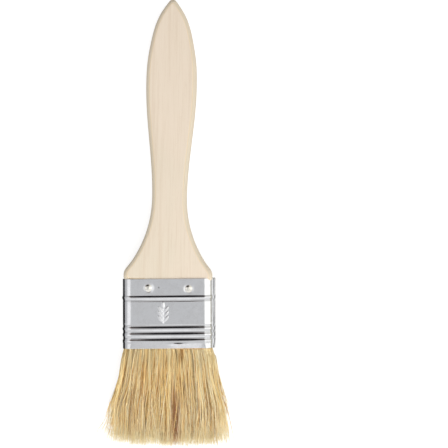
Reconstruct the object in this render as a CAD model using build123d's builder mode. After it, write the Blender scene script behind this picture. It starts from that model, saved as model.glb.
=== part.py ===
"""Flat pastry brush with a wooden handle, a tin-plated steel ferrule and natural bristles.

Millimetres. The brush lies flat: +Y runs from the bristles to the handle's tip, +X across the
brush towards the ferrule's folded seam, +Z up. The origin is under the middle of the brush, on
the surface that it lies on. The front is the side that faces up.
"""
from build123d import *
import math
import os

os.makedirs("parts", exist_ok=True)

# Whole brush: three lengths that follow each other along Y
HANDLE_EXPOSED = 116.1
FERRULE_HEIGHT = 28.9
BRISTLE_REACH = 40.2

# Handle: a flat board with rounded edges. Its outline is widest at the belly, narrow at the
# waist, and flares from there to the shoulders
HANDLE_THICKNESS = 9.0
PLANED_OFF = 0.02
EDGE_ROUND = 1.9
EDGE_SHARE = 0.9
TIP_RADIUS = 1.35
TIP_HALF_ANGLE = 39
BELLY_WIDTH = 20.9
BELLY_FROM_TIP = 35.2
WAIST_WIDTH = 14.3
WAIST_FROM_TIP = 82.4
SHOULDER_WIDTH = 36.8
FLARE_RADIUS = 48.0
SHOULDER_RADIUS = 3.0
# Half width of the blade, with the distance below the tip at which it is reached
BLADE_PLACES = [(6.05, 8.4), (9.2, 20.2)]
# Places along each run of the outline at which the handle's cross-section is set
TIP_SHARES = [0.35, 0.65]
BLADE_STEPS = 12
GRIP_STEPS = 10
FLARE_STEPS = 9
SHOULDER_STEPS = 4

# Tongue: the end of the handle inside the ferrule
TONGUE_LENGTH = 8.0
TONGUE_PLAY = 0.03

# Ferrule: one folded strip of sheet with rolled beads and a folded seam on its +X side
SHEET = 0.35
FERRULE_WIDTH = 37.5
FERRULE_THICKNESS = 9.7
FERRULE_CORNER = 3.8
BEAD_HEIGHT = 0.2
BEAD_PITCH = 2.65
UPPER_BEAD_FROM_TOP = 7.2
LOWER_BEADS_FROM_TOP = 19.7
LOWER_BEADS = 3
SEAM_PROUD = 1.15
SEAM_WIDTH = 4.4
SEAM_ROUND = 0.3
SEAM_LIFT = 0.05
SEAM_STEM = 2.0
SEAM_BITE = 0.06
SEAM_SLIT = 0.12

# Tacks and the pressed dimples that they sit in
TACK_SPACING = 16.7
TACK_FROM_TOP = 4.0
TACK_HEAD_RADIUS = 1.6
TACK_HEAD_HEIGHT = 0.62
TACK_HEAD_ROUND = 0.52
TACK_SHANK_RADIUS = 0.65
TACK_SHANK_LENGTH = 4.0
TACK_POINT_LENGTH = 1.4
TACK_POINT_RADIUS = 0.08
TACK_HOLE_PLAY = 0.1
DIMPLE_RADIUS = 2.65
DIMPLE_DEPTH = 0.45
DIMPLE_BLANK = 2.0
DENT_PLAY = 0.03

# Pressed ear-of-grain mark on the front of the ferrule
MARK_X = -1.8
MARK_FROM_TOP = 14.2
MARK_RAISED = 0.15
GRAIN_LENGTH = 2.6
GRAIN_WIDTH = 1.15
GRAIN_LEAN = 30
GRAIN_STEP = 1.75
GRAIN_PAIRS = 3
STALK_WIDTH = 0.45

# Inside the ferrule, from the tongue towards the mouth
RESIN_FROM_TOP = 10.9
RESIN_LENGTH = 4.5
RESIN_PLAY = 0.02
SPACER_THICKNESS = 2.6
SPACER_LENGTH = 7.0
SPACER_END_GAP = 1.2
BANK_GAP = 0.3
BANK_SPLIT = 0.1

# Free bristles: they turn about an axis just outside the mouth
PIVOT_FROM_MOUTH = 1.5
KNUCKLE_RADIUS = 4.1
SOCKET_GAP = 0.3
TUFT_THICKNESS = 10.8
TUFT_ROOT_WIDTH = 33.6
TUFT_ROOT_FROM_PIVOT = 1.2
TUFT_COLLAR_WIDTH = 39.2
TUFT_COLLAR_FROM_PIVOT = 3.4
TUFT_FLARE_WIDTH = 45.4
TUFT_FLARE_FROM_PIVOT = 15.5
TUFT_END_WIDTH = 50.4
TUFT_FULL_FROM_PIVOT = 27.0
TUFT_SPREAD = 0.3
TUFT_ROUND_LENGTH = 5.0
LOCKS_ACROSS = 5
LOCK_GAP = 0.1
LOCK_END_BOW = 0.8
LOCK_SHORTFALLS = [2.4, 0.7, 0.0, 0.5, 1.8]

# Places that follow from the sizes above
TIP_Y = (HANDLE_EXPOSED + FERRULE_HEIGHT + BRISTLE_REACH) / 2
FERRULE_TOP_Y = TIP_Y - HANDLE_EXPOSED
RESIN_TOP_Y = FERRULE_TOP_Y - RESIN_FROM_TOP
BANK_TOP_Y = RESIN_TOP_Y - RESIN_LENGTH
MOUTH_Y = FERRULE_TOP_Y - FERRULE_HEIGHT
PIVOT_Y = MOUTH_Y - PIVOT_FROM_MOUTH
BRISTLE_END_Y = -TIP_Y
TACK_Y = FERRULE_TOP_Y - TACK_FROM_TOP
MID_Z = TUFT_THICKNESS / 2
INNER_WIDTH = FERRULE_WIDTH - 2 * SHEET
INNER_THICKNESS = FERRULE_THICKNESS - 2 * SHEET
INNER_CORNER = FERRULE_CORNER - SHEET
DISH_RADIUS = (DIMPLE_RADIUS**2 + DIMPLE_DEPTH**2) / (2 * DIMPLE_DEPTH)


def across_plane(y):
    """The plane across the brush at this Y: sketch x runs along -X, sketch y up, extrusion +Y."""
    return Plane(origin=(0, y, MID_Z), x_dir=(-1, 0, 0), z_dir=(0, 1, 0))


def lengthwise_plane(x):
    """The plane along the brush at this X: sketch x runs along +Y, sketch y up, extrusion +X."""
    return Plane(origin=(x, 0, MID_Z), x_dir=(0, 1, 0), z_dir=(1, 0, 0))


def save(part, name):
    part.label = name
    export_step(part, f"parts/{name}.step")


# Tacks ----------------------------------------------------------------------------------


def dimple_fall(radius):
    """How deep the dished dimple is at this distance from its centre."""
    return DIMPLE_DEPTH - DISH_RADIUS + math.sqrt(DISH_RADIUS**2 - radius**2)


def front_and_back():
    """Planes on the ferrule's front and back faces, at the middle of the row of tacks."""
    front = Plane(origin=(0, TACK_Y, MID_Z + FERRULE_THICKNESS / 2), z_dir=(0, 0, 1))
    back = Plane(origin=(0, TACK_Y, MID_Z - FERRULE_THICKNESS / 2), z_dir=(0, 0, -1))
    return front, back


def make_tacks():
    seat = -dimple_fall(TACK_HEAD_RADIUS)
    with BuildPart() as tacks:
        with Locations(*front_and_back()):
            with GridLocations(TACK_SPACING, 0, 2, 1):
                with Locations((0, 0, seat)):
                    Cylinder(
                        TACK_HEAD_RADIUS,
                        TACK_HEAD_HEIGHT,
                        align=(Align.CENTER, Align.CENTER, Align.MIN),
                    )
                with Locations((0, 0, seat)):
                    Cylinder(
                        TACK_SHANK_RADIUS,
                        TACK_SHANK_LENGTH - TACK_POINT_LENGTH,
                        align=(Align.CENTER, Align.CENTER, Align.MAX),
                    )
                with Locations((0, 0, seat - TACK_SHANK_LENGTH + TACK_POINT_LENGTH)):
                    Cone(
                        TACK_POINT_RADIUS,
                        TACK_SHANK_RADIUS,
                        TACK_POINT_LENGTH,
                        align=(Align.CENTER, Align.CENTER, Align.MAX),
                    )
        rims = tacks.edges().filter_by(GeomType.CIRCLE)
        rims = rims.filter_by(lambda rim: abs(rim.radius - TACK_HEAD_RADIUS) < 0.01)
        outer_z = FERRULE_THICKNESS / 2 + seat + TACK_HEAD_HEIGHT
        rims = rims.filter_by(lambda rim: abs(abs(rim.center().Z - MID_Z) - outer_z) < 0.01)
        fillet(rims, TACK_HEAD_ROUND)
    return tacks.part


# Handle ---------------------------------------------------------------------------------


def handle_stations():
    """Points down one side of the handle's outline, from just below the tip to the shoulder."""
    side_slope = math.radians(TIP_HALF_ANGLE)
    flare_rise = (SHOULDER_WIDTH - WAIST_WIDTH) / 2
    flare_angle = math.degrees(math.acos(1 - flare_rise / (FLARE_RADIUS + SHOULDER_RADIUS)))
    with BuildLine():
        tip = JernArc((0, TIP_Y), (1, 0), TIP_RADIUS, TIP_HALF_ANGLE - 90)
        blade = Spline(
            tip @ 1,
            *[(half_width, TIP_Y - from_tip) for half_width, from_tip in BLADE_PLACES],
            (BELLY_WIDTH / 2, TIP_Y - BELLY_FROM_TIP),
            tangents=[(math.sin(side_slope), -math.cos(side_slope)), (0, -1)],
        )
        grip = Spline(
            blade @ 1,
            (WAIST_WIDTH / 2, TIP_Y - WAIST_FROM_TIP),
            tangents=[(0, -1), (0, -1)],
        )
        flare = JernArc(grip @ 1, (0, -1), FLARE_RADIUS, flare_angle)
        shoulder = JernArc(flare @ 1, flare % 1, SHOULDER_RADIUS, -flare_angle)
    stations = [tip @ share for share in TIP_SHARES]
    runs = (
        (blade, BLADE_STEPS),
        (grip, GRIP_STEPS),
        (flare, FLARE_STEPS),
        (shoulder, SHOULDER_STEPS),
    )
    for curve, steps in runs:
        stations += [curve @ (step / steps) for step in range(steps)]
    stations.append(shoulder @ 1)
    return stations


def handle_section(half_width, y):
    """The handle's cross-section: flat front and back, round edges, closing in at the tip."""
    near_tip = max(EDGE_ROUND - (TIP_Y - y), 0)
    fall = EDGE_ROUND - math.sqrt(EDGE_ROUND**2 - near_tip**2)
    edge = min(EDGE_ROUND, half_width * EDGE_SHARE)
    with BuildSketch(across_plane(y)) as across:
        RectangleRounded(2 * half_width, HANDLE_THICKNESS + 2 * PLANED_OFF - 2 * fall, edge)
    return across.sketch.face()


def make_handle(tacks):
    stations = handle_stations()
    root = stations[-1]
    with BuildPart() as handle:
        loft(sections=[handle_section(place.X, place.Y) for place in stations])
        # Planed flat, front and back
        with Locations((0, 0, MID_Z)):
            Box(2 * SHOULDER_WIDTH, 3 * TIP_Y, HANDLE_THICKNESS, mode=Mode.INTERSECT)
        with BuildSketch(across_plane(root.Y)):
            RectangleRounded(SHOULDER_WIDTH, HANDLE_THICKNESS, EDGE_ROUND)
        extrude(amount=FERRULE_TOP_Y - root.Y)
        with BuildSketch(across_plane(FERRULE_TOP_Y)):
            RectangleRounded(
                INNER_WIDTH - 2 * TONGUE_PLAY,
                INNER_THICKNESS - 2 * TONGUE_PLAY,
                INNER_CORNER,
            )
        extrude(amount=-TONGUE_LENGTH)
        with Locations(*front_and_back()):
            with GridLocations(TACK_SPACING, 0, 2, 1):
                with Locations((0, 0, DISH_RADIUS - DIMPLE_DEPTH)):
                    Sphere(DISH_RADIUS + SHEET + DENT_PLAY, mode=Mode.SUBTRACT)
        add(tacks, mode=Mode.SUBTRACT)
    return handle.part


# Ferrule --------------------------------------------------------------------------------


def bead_line(start, count, offset):
    """A run of rolled beads that starts this far below the ferrule's top, as tangent arcs."""
    quarter = BEAD_PITCH / 4
    y = FERRULE_TOP_Y - start
    for half in range(2 * count):
        height = BEAD_HEIGHT if half % 2 == 0 else -BEAD_HEIGHT
        ThreePointArc((y, offset), (y - quarter, offset + height), (y - 2 * quarter, offset))
        y -= 2 * quarter
    return y


def wall_line(offset):
    """One side of the sheet along the brush, from the top edge to the mouth, with its beads."""
    Line((FERRULE_TOP_Y, offset), (FERRULE_TOP_Y - UPPER_BEAD_FROM_TOP, offset))
    below_upper = bead_line(UPPER_BEAD_FROM_TOP, 1, offset)
    Line((below_upper, offset), (FERRULE_TOP_Y - LOWER_BEADS_FROM_TOP, offset))
    below_lower = bead_line(LOWER_BEADS_FROM_TOP, LOWER_BEADS, offset)
    Line((below_lower, offset), (MOUTH_Y, offset))


def make_dimple():
    """One dished dimple, with the face of the ferrule at Z 0 and the tack's hole in the middle."""
    with BuildPart() as dimple:
        Cylinder(DIMPLE_RADIUS, DIMPLE_BLANK, align=(Align.CENTER, Align.CENTER, Align.MAX))
        with Locations((0, 0, DISH_RADIUS - DIMPLE_DEPTH)):
            Sphere(DISH_RADIUS + SHEET, mode=Mode.INTERSECT)
            Sphere(DISH_RADIUS, mode=Mode.SUBTRACT)
        Cylinder(TACK_SHANK_RADIUS + TACK_HOLE_PLAY, 2 * DIMPLE_BLANK, mode=Mode.SUBTRACT)
    return dimple.part


def draw_ear():
    """The mark: an ear of grain with a stalk, drawn upright about the sketch's origin."""
    ear_base = -GRAIN_STEP * (GRAIN_PAIRS - 1) / 2
    lean = math.radians(GRAIN_LEAN)
    reach = GRAIN_LENGTH / 2
    with BuildSketch() as ear:
        for pair in range(GRAIN_PAIRS):
            for side in (-1, 1):
                middle = (
                    side * (STALK_WIDTH / 2 + reach * math.sin(lean)),
                    ear_base + pair * GRAIN_STEP,
                )
                with Locations(middle):
                    Ellipse(reach, GRAIN_WIDTH / 2, rotation=90 - side * GRAIN_LEAN)
        with Locations((0, ear_base + GRAIN_PAIRS * GRAIN_STEP)):
            Ellipse(GRAIN_WIDTH / 2, reach)
        with Locations((0, ear_base)):
            Rectangle(STALK_WIDTH, 2 * GRAIN_STEP)
    return ear.sketch


def wall_section(plane, outer):
    """The sheet's section on this plane, with its outer face this far from the middle."""
    with BuildSketch(plane) as section:
        with BuildLine():
            wall_line(outer)
            wall_line(outer - SHEET)
            for y in (FERRULE_TOP_Y, MOUTH_Y):
                Line((y, outer), (y, outer - SHEET))
        make_face()
    return section.sketch


def make_ferrule():
    dimple = make_dimple()
    corner_x = FERRULE_WIDTH / 2 - FERRULE_CORNER
    corner_z = FERRULE_THICKNESS / 2 - FERRULE_CORNER
    corner_axis = Axis((corner_x, 0, MID_Z + corner_z), (0, 1, 0))
    face_section = wall_section(lengthwise_plane(0), FERRULE_THICKNESS / 2)
    corner_section = wall_section(lengthwise_plane(corner_x), FERRULE_THICKNESS / 2)
    side_plane = Plane(origin=(0, 0, MID_Z), x_dir=(0, 1, 0), z_dir=(0, 0, -1))
    side_section = wall_section(side_plane, FERRULE_WIDTH / 2)
    with BuildPart() as ferrule:
        # A quarter of the wall: half of the front, one corner and half of one narrow side
        extrude(face_section, amount=corner_x)
        revolve(corner_section, axis=corner_axis, revolution_arc=90)
        extrude(side_section, amount=-corner_z)
        mirror(about=Plane.YZ)
        mirror(about=Plane.XY.offset(MID_Z))
        # Folded seam down the +X side: a cap on a narrow stem, slit between its layers
        cap_inner = FERRULE_WIDTH / 2 + BEAD_HEIGHT + SEAM_LIFT
        cap_outer = FERRULE_WIDTH / 2 + SEAM_PROUD
        stem_inner = FERRULE_WIDTH / 2 - SEAM_BITE
        with BuildSketch(across_plane(FERRULE_TOP_Y)):
            with Locations((-(cap_inner + cap_outer) / 2, 0)):
                RectangleRounded(cap_outer - cap_inner, SEAM_WIDTH, SEAM_ROUND)
            with Locations((-(stem_inner + cap_inner + SHEET) / 2, 0)):
                Rectangle(cap_inner + SHEET - stem_inner, SEAM_STEM)
            with Locations((-(cap_inner + cap_outer) / 2, -SHEET)):
                Rectangle(SEAM_SLIT, SEAM_WIDTH, mode=Mode.SUBTRACT)
        extrude(amount=-FERRULE_HEIGHT)
        # Dimples, one round each tack
        with Locations(*front_and_back()):
            with GridLocations(TACK_SPACING, 0, 2, 1):
                Cylinder(DIMPLE_RADIUS - SHEET / 4, 3 * SHEET, mode=Mode.SUBTRACT)
                add(dimple)
        # Pressed mark on the front
        mark_place = (MARK_X, FERRULE_TOP_Y - MARK_FROM_TOP, MID_Z + FERRULE_THICKNESS / 2)
        with BuildSketch(Plane(mark_place).offset(-SHEET / 2)):
            add(draw_ear())
        extrude(amount=SHEET / 2 + MARK_RAISED)
    return ferrule.part


# Inside the ferrule -----------------------------------------------------------------------


def make_resin():
    """The cured adhesive that fills the ferrule between the tongue and the bristles."""
    with BuildPart() as resin:
        with BuildSketch(across_plane(RESIN_TOP_Y)):
            RectangleRounded(
                INNER_WIDTH - 2 * RESIN_PLAY,
                INNER_THICKNESS - 2 * RESIN_PLAY,
                INNER_CORNER - RESIN_PLAY,
            )
        extrude(amount=-RESIN_LENGTH)
    return resin.part


def make_spacer():
    """The strip that parts the two banks of bristles, with its mouth end rounded."""
    length = INNER_WIDTH - 2 * BANK_GAP - 2 * SPACER_END_GAP
    with BuildPart() as spacer:
        with BuildSketch(lengthwise_plane(-length / 2)):
            with Locations((BANK_TOP_Y - (SPACER_LENGTH - SPACER_THICKNESS / 2) / 2, 0)):
                Rectangle(SPACER_LENGTH - SPACER_THICKNESS / 2, SPACER_THICKNESS)
            with Locations((BANK_TOP_Y - SPACER_LENGTH + SPACER_THICKNESS / 2, 0)):
                Circle(SPACER_THICKNESS / 2)
        extrude(amount=length)
    return spacer.part


def half_plane(side):
    """The plane that a bank of bristles starts from, facing that bank's side."""
    return Plane(origin=(0, 0, MID_Z + side * BANK_SPLIT / 2), z_dir=(0, 0, side))


def make_bank(spacer, side):
    """The clamped root ends of one bank of bristles; side is 1 for the front, -1 for the back."""
    with BuildPart() as bank:
        with BuildSketch(across_plane(BANK_TOP_Y)):
            RectangleRounded(
                INNER_WIDTH - 2 * BANK_GAP,
                INNER_THICKNESS - 2 * BANK_GAP,
                INNER_CORNER - BANK_GAP,
            )
        extrude(amount=PIVOT_Y - BANK_TOP_Y)
        with Locations((0, PIVOT_Y, MID_Z)):
            Cylinder(
                KNUCKLE_RADIUS + SOCKET_GAP,
                2 * FERRULE_WIDTH,
                rotation=(0, 90, 0),
                mode=Mode.SUBTRACT,
            )
        add(spacer, mode=Mode.SUBTRACT)
        split(bisect_by=half_plane(side))
    return bank.part


# Free bristles ----------------------------------------------------------------------------


def lock_edge(share, gap):
    """One long edge of a lock in plan; share is its place across the tuft, from -0.5 to 0.5."""
    root = (share * TUFT_ROOT_WIDTH + gap, PIVOT_Y - TUFT_ROOT_FROM_PIVOT)
    collar = (share * TUFT_COLLAR_WIDTH + gap, PIVOT_Y - TUFT_COLLAR_FROM_PIVOT)
    flare = (share * TUFT_FLARE_WIDTH + gap, PIVOT_Y - TUFT_FLARE_FROM_PIVOT)
    full = (share * TUFT_END_WIDTH + gap, PIVOT_Y - TUFT_FULL_FROM_PIVOT)
    top = Line((root[0], PIVOT_Y + KNUCKLE_RADIUS), root)
    Line(root, collar)
    Spline(collar, flare, full, tangents=[(share * TUFT_SPREAD, -1), (0, -1)])
    return top @ 0, Vector(*full)


def make_lock(number, side):
    """A lock of free bristles, with its share of the round knuckle that they turn on."""
    first = number / LOCKS_ACROSS - 0.5
    last = first + 1 / LOCKS_ACROSS
    end_y = BRISTLE_END_Y + LOCK_SHORTFALLS[number]
    round_y = BRISTLE_END_Y + TUFT_ROUND_LENGTH
    with BuildPart() as lock:
        with BuildSketch():
            with BuildLine():
                left = lock_edge(first, LOCK_GAP / 2)
                right = lock_edge(last, -LOCK_GAP / 2)
                Line(left[0], right[0])
                left_end = (left[1].X, end_y + LOCK_END_BOW)
                right_end = (right[1].X, end_y + LOCK_END_BOW)
                Line(left[1], left_end)
                Line(right[1], right_end)
                ThreePointArc(left_end, ((left_end[0] + right_end[0]) / 2, end_y), right_end)
            make_face()
        extrude(amount=TUFT_THICKNESS)
        with BuildSketch(lengthwise_plane(0)):
            with Locations((PIVOT_Y, 0)):
                Circle(KNUCKLE_RADIUS)
            with BuildLine():
                Polyline(
                    (PIVOT_Y, KNUCKLE_RADIUS),
                    (PIVOT_Y, -KNUCKLE_RADIUS),
                    (round_y, -TUFT_THICKNESS / 2),
                    (round_y, TUFT_THICKNESS / 2),
                    close=True,
                )
            make_face()
            with Locations((round_y, 0)):
                Ellipse(TUFT_ROUND_LENGTH, TUFT_THICKNESS / 2)
        extrude(amount=TUFT_END_WIDTH, both=True, mode=Mode.INTERSECT)
        split(bisect_by=half_plane(side))
    return lock.part


# The whole brush --------------------------------------------------------------------------

tacks = make_tacks()
spacer = make_spacer()
save(make_handle(tacks), "handle")
save(make_ferrule(), "ferrule")
save(tacks, "ferrule_tacks")
save(make_resin(), "resin_set")
save(spacer, "spacer_plug")
for side_name, side in (("front", 1), ("back", -1)):
    save(make_bank(spacer, side), f"bristle_roots_{side_name}")
    for number in range(LOCKS_ACROSS):
        save(make_lock(number, side), f"bristle_lock_{side_name}_{number + 1}")
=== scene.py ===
"""Flat pastry brush: the visible model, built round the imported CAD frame.

Lengths inside the functions are millimetres; make_piece turns them into metres.
X runs across the brush to the folded seam, Y from the bristles to the handle's tip, Z up.
"""

import math

import bmesh
import bpy
import numpy as np
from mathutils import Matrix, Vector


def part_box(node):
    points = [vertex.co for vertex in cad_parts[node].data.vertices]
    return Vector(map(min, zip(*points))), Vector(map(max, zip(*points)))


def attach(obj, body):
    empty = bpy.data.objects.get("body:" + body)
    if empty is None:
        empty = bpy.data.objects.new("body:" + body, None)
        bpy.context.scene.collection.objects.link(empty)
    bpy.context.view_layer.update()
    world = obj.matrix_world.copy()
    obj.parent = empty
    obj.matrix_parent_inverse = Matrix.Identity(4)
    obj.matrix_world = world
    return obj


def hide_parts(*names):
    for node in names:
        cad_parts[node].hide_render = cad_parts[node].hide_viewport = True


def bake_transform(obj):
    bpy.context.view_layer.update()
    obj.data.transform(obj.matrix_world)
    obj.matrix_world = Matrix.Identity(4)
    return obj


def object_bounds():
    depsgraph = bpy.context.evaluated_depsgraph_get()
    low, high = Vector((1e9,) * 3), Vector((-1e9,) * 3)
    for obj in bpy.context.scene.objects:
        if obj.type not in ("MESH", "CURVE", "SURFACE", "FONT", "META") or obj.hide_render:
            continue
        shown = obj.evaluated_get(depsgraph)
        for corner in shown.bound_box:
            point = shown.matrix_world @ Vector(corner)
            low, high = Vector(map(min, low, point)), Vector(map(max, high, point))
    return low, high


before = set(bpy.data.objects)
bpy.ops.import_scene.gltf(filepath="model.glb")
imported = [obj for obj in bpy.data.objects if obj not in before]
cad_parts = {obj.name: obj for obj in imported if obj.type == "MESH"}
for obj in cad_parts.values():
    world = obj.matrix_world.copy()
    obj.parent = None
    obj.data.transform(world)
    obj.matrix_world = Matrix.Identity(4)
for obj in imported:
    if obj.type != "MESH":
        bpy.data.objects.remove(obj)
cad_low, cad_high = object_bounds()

MM = 0.001


def box_mm(node):
    """Lowest and highest corner of a CAD node, in millimetres."""
    low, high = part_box(node)
    return np.array(low) / MM, np.array(high) / MM


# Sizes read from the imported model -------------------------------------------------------
HANDLE_LOW, HANDLE_HIGH = box_mm("handle")
FERRULE_LOW, FERRULE_HIGH = box_mm("ferrule")
TACKS_LOW, TACKS_HIGH = box_mm("ferrule_tacks")
MID_Z = (FERRULE_LOW[2] + FERRULE_HIGH[2]) / 2
FERRULE_TOP = FERRULE_HIGH[1]
MOUTH = FERRULE_LOW[1]
FERRULE_LENGTH = FERRULE_TOP - MOUTH
BRISTLE_LENGTH = MOUTH - cad_low.y / MM

# Handle ---------------------------------------------------------------------------------
HANDLE_ROUND = 1.9
SIDE_BAND = 1.9
TIP_OVERRUN = 0.077
TONGUE_SLIMMING = 0.4

# Ferrule: its wall, and how far askew it sits on the handle -----------------------------
BEAD_CREST = 0.2
WALL_HALF_WIDTH = -FERRULE_LOW[0] - BEAD_CREST
WALL_HALF_DEPTH = (FERRULE_HIGH[2] - FERRULE_LOW[2]) / 2 - BEAD_CREST
WALL_CORNER = 3.8
SHEET = 0.35
RIM_ROUND = 0.08
FERRULE_TURN = 0.028
FERRULE_LEAN = 0.022
FERRULE_SHIFT = -0.1

# Ferrule: its rolled beads, by distance from the top edge -------------------------------
UPPER_BEAD = 7.8
UPPER_SWELL = 0.31
LOWER_BEADS = 19.45
LOWER_PITCH = 2.57
LOWER_SWELL = 0.32
LOWER_SINK = 0.12
LIP_SLOPE = 0.17
SIDE_LIP = 26.9
EDGE_FIRMNESS = 0.62

# Ferrule: its seam's three folds, each with its inner and outer x, half depth and painted shade (darkest
# on the sunken middle fold, the slit between the others)
SEAM_FOLDS = ((18.2, 19.08, 2.55, 0.15), (18.8, 19.5, 1.9, 1.0), (19.26, 19.88, 2.35, 0.15))

# Ferrule: the raised ear of grain on its front ------------------------------------------
MARK_X = -1.8
MARK_FROM_TOP = 14.2
GRAIN_HALF_LENGTH = 1.35
GRAIN_HALF_WIDTH = 0.56
GRAIN_LEAN = math.radians(34)
GRAIN_STEP = 1.9
GRAIN_RAISED = 0.30
STALK_HALF_WIDTH = 0.32
STALK_RAISED = 0.10

# Ferrule: marks of use on its front -----------------------------------------------------
PINCH_X = 4.6
PINCH_FROM_TOP = 27.05
PINCH_OUT = 0.34
DENT_X = 13.2
DENT_FROM_TOP = 13.2
DENT_DEPTH = 0.06
SPECK_X = -3.6
SPECK_FROM_TOP = 3.6

# Tacks and the dimples round them -------------------------------------------------------
HEAD_RADIUS = 1.6
HEAD_RIM = 0.08
HEAD_DOME = 0.44
HEAD_SUNK = 0.18
SHANK_RADIUS = 0.65
SHANK_STRAIGHT = 2.6
SHANK_LENGTH = 4.0
TACK_X = TACKS_HIGH[0] - HEAD_RADIUS
TACK_FROM_TOP = FERRULE_TOP - (TACKS_LOW[1] + TACKS_HIGH[1]) / 2
TACK_SHIFT = 0.5
DIMPLE_RADIUS = 2.8
DIMPLE_DEPTH = 0.25

# Bristles -------------------------------------------------------------------------------
ROOT_HALF_WIDTH = 18.0
ROOT_HALF_DEPTH = 4.2
ROOT_INSIDE = 4.0
TUFT_HALF_DEPTH = 5.15
HAIR_CLEARANCE = 0.2
FAN_LIMIT = 12.0
EDGE_STRAY = 7.0
LEFT_STRAY = 5.0
RAISED_SHARE = 0.68
THINNEST_HAIR = 0.115
THICKEST_HAIR = 0.185
TIP_THINNING = 0.72
STREAK_X = 6.4
PATCH_X = 4.2
WISPS = 76
HAIRS = 7
RINGS = 14


# Small tools ----------------------------------------------------------------------------
def smooth_step(value, low, high):
    """0 below low, 1 above high, and a smooth ramp between."""
    t = np.clip((value - low) / (high - low), 0, 1)
    return t * t * (3 - 2 * t)


def waves(along, across, count, longest, shortest, rng):
    """Gentle random waviness, about -1 to 1, from a few crossed sine waves."""
    total = np.zeros(np.broadcast(along, across).shape)
    for _ in range(count):
        length = rng.uniform(shortest, longest)
        turn = rng.uniform(0, math.pi)
        phase = rng.uniform(0, 2 * math.pi)
        run = along * math.cos(turn) + across * math.sin(turn)
        total += np.sin(2 * math.pi * run / length + phase)
    return total / math.sqrt(count)


def ring_faces(rows, columns, start=0):
    """Quads of a closed band: rows of points that go round, each joined to the next."""
    faces = []
    for row in range(rows - 1):
        for column in range(columns):
            a = start + row * columns + column
            b = start + row * columns + (column + 1) % columns
            faces.append((a, b, b + columns, a + columns))
    return faces


class Shell:
    """Points and faces of one mesh, gathered band by band, with one number kept for each point: how much
    its colour is darkened, as painted shade and, at one speck on the ferrule, real dirt.
    """

    def __init__(self):
        self.points, self.faces, self.shade_and_grime = [], [], []
        self.count = 0

    def band(self, rings, shade_and_grime=0.0, first_cap=True, last_cap=True):
        """Adds rings of points joined into a tube, capped at either end if asked.

        Returns the number of its first point.
        """
        rings = np.asarray(rings, float)
        rows, columns = rings.shape[:2]
        start = self.count
        self.points.append(rings.reshape(-1, 3))
        self.shade_and_grime.append((np.zeros((rows, columns)) + shade_and_grime).ravel())
        self.faces += ring_faces(rows, columns, start)
        self.count += rows * columns
        if first_cap:
            self.faces.append(tuple(range(start, start + columns)))
        if last_cap:
            self.faces.append(tuple(range(self.count - columns, self.count)))
        return start

    def lip(self, outer, inner, columns):
        """Joins one ring of points to another across a rim."""
        for column in range(columns):
            after = (column + 1) % columns
            self.faces.append((outer + column, outer + after, inner + after, inner + column))

    def piece(self, name, material, slot):
        """The finished object, with its faces turned outwards."""
        made = make_piece(name, np.concatenate(self.points), self.faces, material)
        store(made, "shade_and_grime", np.concatenate(self.shade_and_grime))
        shape = bmesh.new()
        shape.from_mesh(made.data)
        bmesh.ops.recalc_face_normals(shape, faces=shape.faces)
        shape.to_mesh(made.data)
        shape.free()
        return made


def make_piece(name, points, faces, material):
    """A smooth mesh object from points in millimetres."""
    mesh = bpy.data.meshes.new(name)
    mesh.from_pydata((np.asarray(points) * MM).tolist(), [], faces)
    mesh.polygons.foreach_set("use_smooth", [True] * len(mesh.polygons))
    mesh.materials.append(material)
    piece = bpy.data.objects.new(name, mesh)
    bpy.context.scene.collection.objects.link(piece)
    return piece


def store(piece, name, values):
    """Keeps one number per mesh point for the material to read."""
    attribute = piece.data.attributes.new(name, "FLOAT", "POINT")
    attribute.data.foreach_set("value", np.asarray(values, np.float32))


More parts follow.
